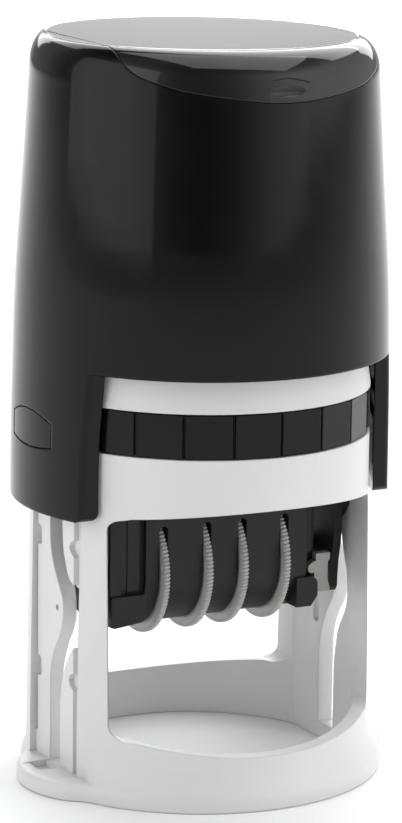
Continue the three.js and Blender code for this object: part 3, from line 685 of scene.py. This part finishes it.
def frame_piece():
    SEG = 288
    th = [TAU * i / SEG for i in range(SEG)]
    rings = []
    zs = [0, 0.1, 0.35, 1.0, 1.6, 1.9, 2.3, 2.65, 2.9, 3.08, FOOT_H]
    for z in zs:
        rings.append([(foot_r(t, z) * math.cos(t), foot_r(t, z) * math.sin(t), z) for t in th])
    for z in (FOOT_H + 0.02, 3.6, 4.2, 5.0, 5.8, 6.8, 8.0, 9.4, 10.7, 12.0):
        rings.append([(foot_r(t, z) * math.cos(t), foot_r(t, z) * math.sin(t), z) for t in th])
    for r, z in ((31.65, 30.0), (R_FRAME, 52.0), (R_FRAME, 72.6), (30.9, 75.4), (30.3, 79.5), (30.0, 83.3), (29.8, 83.8), (29.5, FRAME_TOP)):
        rings.append([(r * math.cos(t), r * math.sin(t), z) for t in th])
    body = loft("frame", rings)

    bore_low = cut(
        cyl_z(R_BORE, -1, 63.2, seg=240),
        box(X_CHORD, 60, -40, 40, -2, 70),
        box(-60, -X_CHORD, -40, 40, -2, 70),
    )
    cut(body, bore_low, cyl_z(R_BORE, 63.1, FRAME_TOP + 1, seg=240))
    window = (
        arc(-WIN_X + 2.0, 50.2, 2.0, 180, 98, 10)
        + [(x, 54.35 - 2.05 * (x / 25.9) ** 2) for x in np.linspace(-24.0, 24.0, 33)]
        + arc(WIN_X - 2.0, 50.2, 2.0, 82, 0, 10)
        + arc(WIN_X - 3.0, 14.3, 3.0, 0, -70, 10)
        + [(x, 9.3 + 2.35 * (x / 24.0) ** 2) for x in np.linspace(23.6, -23.6, 33)]
        + arc(-WIN_X + 3.0, 14.3, 3.0, -110, -180, 10)
    )
    cut(body, prism("y", window, -60, 60))
    cut(body, box(-SLOT_X, SLOT_X, -60, -12, SLOT_LO, SLOT_HI))

    mid_rear = [(a[0] * 0.66 + b[0] * 0.34, a[1] * 0.66 + b[1] * 0.34) for a, b in zip(REAR_OUT, REAR_IN)]

    def column(s):
        # a tapering finger-shaped dimple on the inner face
        dimple = loft("tool", [
            [(-X_CHORD - d + r + r * math.cos(TAU * i / 32), 2.75 + r * math.sin(TAU * i / 32), z) for i in range(32)]
            for z, r, d in ((22.55, 0.25, 0.1), (22.7, 0.6, 0.45), (23.0, 0.9, 0.7), (23.5, 1.1, 0.85), (24.1, 1.15, 0.85), (25.5, 1.15, 0.62), (28.0, 1.15, 0.25), (29.8, 1.15, 0.0), (30.2, 1.15, -0.1))
        ])
        tools = [
            box(-60, -X_PANEL, -10.6, 7.0, FOOT_H, 61.8),
            box(-60, -X_PANEL + 0.95, 6.3, 7.02, 7.5, 58),
            box(-60, -X_PANEL + 0.95, -10.65, -8.9, FOOT_H, 61.79),
            prism("x", [(4.6, 46.0), (4.6, 43.8), (5.0, 43.2), (7.03, 42.9), (7.03, 47.0), (5.0, 46.6)], -60, -X_PANEL + 0.96),
            prism("x", [(4.6, 21.1), (4.6, 18.9), (5.0, 18.3), (7.03, 18.0), (7.03, 22.1), (5.0, 21.7)], -60, -X_PANEL + 0.96),
            prism("x", [(-10.66, 47.2), (-10.66, 43.9), (-8.6, 43.9), (-7.4, 44.6), (-7.0, 45.4), (-7.6, 46.4), (-8.8, 46.9)], -60, -X_PANEL + 0.96),
            prism("x", [(-10.66, 22.3), (-10.66, 19.0), (-8.6, 19.0), (-7.4, 19.7), (-7.0, 20.6), (-7.6, 21.6), (-8.8, 22.0)], -60, -X_PANEL + 0.96),
            cyl_x(0.55, -40, -X_PANEL + 1.2, -2.0, 32.9, 20),
            prism("z", [(-34.2, -3.9), (-34.2, 0.7), (-33.8, 1.1), (-30.7, 1.1), (-30.7, -4.3), (-33.8, -4.3)], 2.0, FOOT_H + 2),
            slot_tool([(-40, REAR_OUT, FRONT_OUT), (-X_PANEL, REAR_OUT, FRONT_OUT), (-X_PANEL + 0.95, mid_rear, FRONT_OUT)]),
            slot_tool([(-X_PANEL + 0.93, mid_rear, FRONT_MID), (-X_CHORD, REAR_IN, FRONT_IN), (-20, REAR_IN, FRONT_IN)]),
            dimple,
        ]
        for t in tools:
            if s > 0:
                m = mirrored(t)
                gone = t.data
                bpy.data.objects.remove(t, do_unlink=True)
                t = m
            cut(body, t)

    column(-1)
    column(1)
    ledge = cut(cyl_z(R_BORE + 0.6, 72.5, 73.2, seg=120), cyl_z(27.9, 70, 75, seg=120), box(-60, 60, -11.7, 11.7, 70, 75))
    join(body, ledge, box(-8, 8, 26.4, 30, 68.6, 69.9))
    outer = round_wall(lambda z: np.where(z < 72.6, post_r(z), 1e3))

    def outside(co):
        on, want = outer(co)
        return on & (co[:, 2] > 12.0), want

    done(body, "frame_detailed", "frame", M_WHITE, ["frame"], angle=28, surfaces=[outside, round_wall(R_BORE, False)])


# ------------------------------------------------------------------ pad cassette
def cassette_piece():
    pts = []
    for i in range(-5, 6):
        a = math.radians(i * 16.4 - 90)
        r = 31.22
        # shallow groove at each facet line
        if -4 < i < 4:
            for d, k in ((-0.55, 0), (-0.12, -0.42), (0.12, -0.42), (0.55, 0)):
                b = a + math.radians(d)
                pts.append(((r + k) * math.cos(b), (r + k) * math.sin(b)))
        else:
            pts.append((r * math.cos(a), r * math.sin(a)))
    grip = prism("z", pts + [(0, 5)], SLOT_LO + 0.3, SLOT_HI - 0.3)
    cut(grip, cyl_z(28.4, 60, 80, seg=160))
    keep(grip, box(-27.6, 27.6, -40, -12.3, 60, 80))
    tray = keep(cyl_z(28.7, 70.3, 72.0, seg=160), box(-24.9, 24.9, -40, 27.7, 60, 80))
    rim = cut(cyl_z(24.85, 68.9, 70.4, seg=160), cyl_z(23.9, 60, 80, seg=160))
    join(grip, tray, rim)
    done(grip, "pad_cassette_detailed", "pad_cassette", M_TRIM, ["pad_cassette"], angle=22)


def pad_piece():
    """The felt pad: a round that is fullest in its middle and pulled in at the rim, flat where the cassette holds it."""
    profile = [(0.4, 68.62), (5.0, 68.63), (10.0, 68.66), (15.0, 68.73), (18.5, 68.82), (21.0, 68.95), (22.4, 69.1), (23.2, 69.3), (23.55, 69.55), (23.6, 69.8), (23.45, 69.97), (22.5, 70.0), (0.4, 70.0)]
    felt = turned("pad", profile, 160)
    done(felt, "ink_pad_detailed", "pad_cassette", M_FELT, ["ink_pad"], angle=50)


# ------------------------------------------------------------------ rotor
def rotor_pieces():
    cz = WHEEL_Z
    # cover: a U round the wheels, with four slots, drawn in at both ends
    def u(r, top):
        return [(r, top), (r, cz)] + arc(0, cz, r, -4, -176, 60) + [(-r, cz), (-r, top)]

    cover = cut(prism("x", u(10.7, 57.3), -16.3, 17.2), prism("x", u(9.5, 58.3), -15.5, 16.3))
    for x in WHEEL_X:
        cut(cover, box(x - 0.85, x + 0.95, -20, 20, cz - 20, cz + 8.4))
        # each slot ends in a small round pocket
        cut(cover, prism("y", [(x - 0.85, cz + 8.3)] + arc(x + 0.1, cz + 8.4, 0.9, 0, 180, 14), -20, 20))
    join(cover, prism("x", u(9.6, 55.7), -23, -16), prism("x", u(8.5, 55.7), -17, 18.1), prism("x", u(9.8, 55.7), -19.6, -17.0))
    right = [(15.2, cz - 9.0), (18.3, cz - 9.0), (19.65, cz - 7.1), (19.65, cz - 4.6), (19.4, cz - 4.0), (18.8, cz - 3.5), (18.4, cz - 3.4), (15.2, cz - 3.4)]
    left = [(-22.9, cz - 8.7), (-22.2, cz - 8.9), (-18.6, cz - 8.5), (-16.6, cz - 8.2), (-15.9, cz - 7.4), (-15.9, cz - 3.1), (-22.9, cz - 3.1)]
    join(cover, prism("y", right, -10.6, -6.4), prism("y", left, -10.2, -6.4))
    # a slanted web and a short shelf above the left block
    join(cover, prism("y", [(-22.9, cz - 3.3), (-22.9, cz + 12.5), (-22.2, cz + 12.5), (-20.6, cz - 3.3)], -9.6, -8.0))
    join(cover, prism("y", [(-22.9, cz - 3.4), (-22.9, cz - 2.2), (-19.0, cz - 0.4), (-16.2, cz - 0.2), (-16.2, cz - 3.4)], -9.3, -8.0))
    join(cover, box(15.4, 20.55, -7.05, -6.3, cz - 6.5, cz + 10.0), box(15.4, 19.3, -8.45, -6.5, cz + 0.9, cz + 10.0))
    cut(cover, prism("x", u(9.5, 58.3), -15.5, 16.3), prism("x", u(7.4, 58.3), -22, 18.2), box(-30, 30, -7.4, 7.4, cz + 10.5, 60))
    cut(cover, cyl_x(1.85, -30, 30, 0, cz, 40))
    done(cover, "wheel_cover_detailed", "rotor", M_INNER, ["wheel_cover"], angle=24)

    # hooked clip: a front tab with a hook and a swept foot, and an arm round the axle
    tab = (
        [(19.75, cz - 6.9), (19.75, cz - 3.1)] + arc(19.35, cz - 2.3, 0.95, 265, 120, 12)
        + [(19.6, cz - 1.0), (20.1, cz - 0.9), (20.1, cz + 0.45), (23.1, cz + 0.45), (23.1, cz - 0.9), (22.7, cz - 1.15)]
        + [(22.65, cz - 4.2), (22.75, cz - 5.0), (22.95, cz - 5.7), (23.15, cz - 6.2), (23.15, cz - 6.9)]
    )
    clip = prism("y", tab, -9.0, -7.4)
    join(clip, prism("x", [(-7.5, cz - 6.0), (-7.5, cz - 2.2), (-2.9, cz + 0.3)] + arc(0, cz, 2.8, 160, -125, 24), 20.9, 22.3))
    cut(clip, cyl_x(1.85, 10, 30, 0, cz, 40))
    done(clip, "axle_clip_detailed", "rotor", M_NATURAL, ["axle_clip"], angle=28)

    # thumb wheels: thin discs with a finely knurled rim
    for i, x in enumerate(WHEEL_X):
        teeth = 108
        rim = []
        for k in range(teeth):
            a, w = TAU * k / teeth, TAU / teeth
            rim += [((WHEEL_R) * math.cos(a - 0.16 * w), WHEEL_R * math.sin(a - 0.16 * w)), (WHEEL_R * math.cos(a + 0.16 * w), WHEEL_R * math.sin(a + 0.16 * w)),
                    ((WHEEL_R - 0.42) * math.cos(a + 0.42 * w), (WHEEL_R - 0.42) * math.sin(a + 0.42 * w)), ((WHEEL_R - 0.42) * math.cos(a + 0.58 * w), (WHEEL_R - 0.42) * math.sin(a + 0.58 * w))]

        def ring(t, d=0.0):
            out = []
            for p, q in rim:
                l = math.hypot(p, q)
                out.append((x + t, p * (l - d) / l, cz + q * (l - d) / l))
            return out

        disc = loft("wheel", [ring(-0.55, 0.5), ring(-0.53, 0.28), ring(-0.42, 0.08), ring(-0.25, 0.0), ring(0.4, 0.0), ring(0.52, 0.06), ring(0.55, 0.15)])
        # a shallow step inside the rim, and the hub
        cut(disc, cut(cyl_x(10.9, x - 2, x - 0.4, 0, cz, 96), cyl_x(6.0, x - 3, x + 3, 0, cz, 64)))
        join(disc, cyl_x(5.0, x + 0.4, HUB_END[i], 0, cz, 64))
        cut(disc, cyl_x(1.85, x - 10, x + 20, 0, cz, 48))
        done(disc, f"date_wheel_{i + 1}_detailed", f"date_wheel_{i + 1}", M_WHEEL, [f"date_wheel_{i + 1}"], angle=35)


cap_pieces()
frame_piece()
cassette_piece()
pad_piece()
rotor_pieces()

# ------------------------------------------------------------------ the other nodes keep their own shape
FINISH = {
    "spring_deck": M_WHITE, "return_spring": M_STEEL, "carriage": M_INNER, "index_card": M_CARD, "lock_spring_right": M_STEEL,
    "lock_spring_left": M_STEEL, "rotor_housing": M_INNER, "wheel_axle": M_AXLE, "text_plate": M_PLATE,
    "date_anvil": M_NATURAL, "click_leaf": M_STEEL, "trunnion_right": M_NATURAL, "trunnion_left": M_NATURAL,
    "date_band_1": M_BAND, "date_band_2": M_BAND, "date_band_3": M_BAND, "date_band_4": M_BAND,
}
for node, mat in FINISH.items():
    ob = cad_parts[node]
    if ob.material_slots:
        for s in ob.material_slots:
            s.material = mat
    else:
        ob.data.materials.append(mat)

# ------------------------------------------------------------------ floor
def floor():
    n = 24
    verts, faces = [], []
    for i in range(n + 1):
        for j in range(n + 1):
            verts.append(((i / n - 0.5) * 6.0, (j / n - 0.5) * 6.0, 0.0))
    for i in range(n):
        for j in range(n):
            a = i * (n + 1) + j
            faces.append((a, a + n + 1, a + n + 2, a + 1))
    ob = make("floor", verts, faces)
    m, nt, b = shader("floor_pale")
    soft = noise(nt, 3, 2.0)
    nt.links.new(ramp(nt, soft, [(0.3, (0.925, 0.927, 0.93, 1)), (0.7, (0.94, 0.942, 0.945, 1))]), b.inputs["Base Color"])
    b.inputs["Roughness"].default_value = 0.75
    b.inputs["Specular IOR Level"].default_value = 0.1
    ob.data.materials.append(m)
    ob.location.z = -0.00005


floor()

# ------------------------------------------------------------------ camera at the photograph's angle
AZ = math.radians(27.7)
DIST, HEIGHT, PITCH, ROLL, SIDE = 0.6132, 0.19334, 0.2042, 0.0128, 0.000165
cam_data = bpy.data.cameras.new("camera")
cam = bpy.data.objects.new("camera", cam_data)
scene.collection.objects.link(cam)
cam.location = (
    SIDE * math.cos(AZ) - DIST * math.sin(AZ),
    -SIDE * math.sin(AZ) - DIST * math.cos(AZ),
    HEIGHT,
)
cam.matrix_world = (
    Matrix.Translation(cam.location)
    @ Matrix.Rotation(-AZ, 4, "Z")
    @ Matrix.Rotation(math.pi / 2 - PITCH, 4, "X")
    @ Matrix.Rotation(ROLL, 4, "Z")
)
cam_data.sensor_fit = "AUTO"
cam_data.sensor_width = 36
cam_data.lens = 3393 / 823 * 36
cam_data.clip_start = 0.01
cam_data.clip_end = 20
scene.camera = cam

# ------------------------------------------------------------------ light
scene.view_settings.view_transform = "Standard"


def area(name, az, el, dist, size_x, size_y, power, tint=(1, 1, 1)):
    """A soft box; az is measured from the camera's side of the object, positive to the camera's right."""
    a = math.radians(az) - AZ
    e = math.radians(el)
    pos = Vector((math.sin(a) * math.cos(e), -math.cos(a) * math.cos(e), math.sin(e))) * dist + Vector((0, 0, 0.06))
    d = bpy.data.lights.new(name, "AREA")
    d.shape, d.size, d.size_y, d.energy, d.color = "RECTANGLE", size_x, size_y, power, tint
    ob = bpy.data.objects.new(name, d)
    ob.location = pos
    ob.rotation_euler = (Vector((0, 0, 0.06)) - pos).to_track_quat("-Z", "Y").to_euler()
    scene.collection.objects.link(ob)
    return ob


area("softbox_top", 110, 80, 1.5, 1.5, 1.3, 13.0)
# a tall soft box stands upright at the left
tall = bpy.data.lights.new("softbox_left", "AREA")
tall.shape, tall.size, tall.size_y, tall.energy = "RECTANGLE", 1.5, 1.2, 4.8
tall_ob = bpy.data.objects.new("softbox_left", tall)
tall_ob.location = (1.2 * math.sin(math.radians(-62) - AZ) * 1.0, -1.2 * math.cos(math.radians(-62) - AZ), 0.65)
tall_ob.rotation_euler = Vector((-tall_ob.location.x, -tall_ob.location.y, 0)).to_track_quat("-Z", "Y").to_euler()
scene.collection.objects.link(tall_ob)
# a long strip stands behind, above the camera's view
low = bpy.data.lights.new("strip_rear", "AREA")
low.shape, low.size, low.size_y, low.energy = "RECTANGLE", 2.6, 0.7, 17.0
low_ob = bpy.data.objects.new("strip_rear", low)
low_ob.location = (2.0 * math.sin(AZ), 2.0 * math.cos(AZ), 0.82)
low_ob.rotation_euler = Vector((-low_ob.location.x, -low_ob.location.y, 0)).to_track_quat("-Z", "Y").to_euler()
scene.collection.objects.link(low_ob)
# a large soft box lies over the far floor and looks straight down
far = bpy.data.lights.new("softbox_far", "AREA")
far.shape, far.size, far.size_y, far.energy = "RECTANGLE", 2.6, 2.0, 42.0
far_ob = bpy.data.objects.new("softbox_far", far)
far_ob.location = (1.9 * math.sin(AZ), 1.9 * math.cos(AZ), 1.5)
far_ob.rotation_euler = (0, 0, -AZ)
scene.collection.objects.link(far_ob)

world = bpy.data.worlds.new("studio")
scene.world = world
world.use_nodes = True
wn = world.node_tree
wn.nodes.clear()
wo = wn.nodes.new("ShaderNodeOutputWorld")
bg = wn.nodes.new("ShaderNodeBackground")
tc = wn.nodes.new("ShaderNodeTexCoord")
mp = wn.nodes.new("ShaderNodeMapping")
mp.vector_type = "POINT"
mp.inputs["Rotation"].default_value = (0, 0, AZ)
wn.links.new(tc.outputs["Generated"], mp.inputs["Vector"])
sep = wn.nodes.new("ShaderNodeSeparateXYZ")
wn.links.new(mp.outputs["Vector"], sep.inputs[0])


def w_math(op, a, b=None):
    m = wn.nodes.new("ShaderNodeMath")
    m.operation = op
    for k, v in enumerate((a, b)):
        if v is None:
            continue
        if isinstance(v, (int, float)):
            m.inputs[k].default_value = v
        else:
            wn.links.new(v, m.inputs[k])
    return m.outputs[0]


# brightness round the studio, in degrees from the camera's side, positive to its right
AROUND = [
    (-180, 1.0), (-168, 0.75), (-152, 0.35), (-124, 0.5), (-102, 0.3), (-90, 0.5), (-80, 1.0), (-63, 1.1), (-48, 1.05), (-33, 0.65), (-19, 0.18),
    (0, 0.05), (22, 0.3), (36, 0.85), (51, 1.45), (66, 1.85), (83, 1.8), (103, 1.4), (129, 0.85), (152, 0.4), (168, 0.75), (180, 1.0),
]
turn = w_math("ARCTAN2", sep.outputs["X"], w_math("MULTIPLY", sep.outputs["Y"], -1.0))
turn = w_math("ADD", w_math("DIVIDE", turn, TAU), 0.5)
around = ramp(wn, turn, [((a + 180) / 360, grey(v / 2)) for a, v in AROUND])
# its ceiling is dim
up = wn.nodes.new("ShaderNodeMapRange")
up.interpolation_type = "SMOOTHSTEP"
up.inputs["From Min"].default_value = 0.55
up.inputs["From Max"].default_value = 0.85
up.inputs["To Min"].default_value = 2.0
up.inputs["To Max"].default_value = 0.5
wn.links.new(sep.outputs["Z"], up.inputs["Value"])
wn.links.new(around, bg.inputs["Color"])
wn.links.new(up.outputs["Result"], bg.inputs["Strength"])
wn.links.new(bg.outputs[0], wo.inputs[0])
